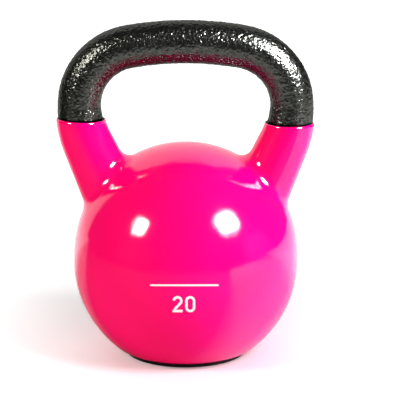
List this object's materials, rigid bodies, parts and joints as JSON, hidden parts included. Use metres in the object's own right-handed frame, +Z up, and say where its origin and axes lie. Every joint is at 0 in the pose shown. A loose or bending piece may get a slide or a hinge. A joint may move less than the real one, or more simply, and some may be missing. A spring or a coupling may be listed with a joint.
{
  "type": "kettlebell",
  "caption": "Cast-iron kettlebell with a solid ball and flat base, glossy vinyl skin over ball and horns, and a black hammertone handle; a free weight for swinging and lifting.",
  "frame": {"origin": "centre of the underside of the base, on the floor", "axes": "+Z up, X along the handle, -Y towards the printed front"},
  "size_m": [0.1946, 0.171, 0.2561],
  "materials": {
    "cast_iron": "as cast",
    "black_hammertone": "dimpled gloss",
    "pink_vinyl": "high gloss",
    "black_rubber": "matte"
  },
  "bodies": {
    "root": {"iron_casting": "cast_iron", "handle_enamel": "black_hammertone", "vinyl_jacket": "pink_vinyl", "base_pad": "black_rubber"}
  },
  "joints": []
}
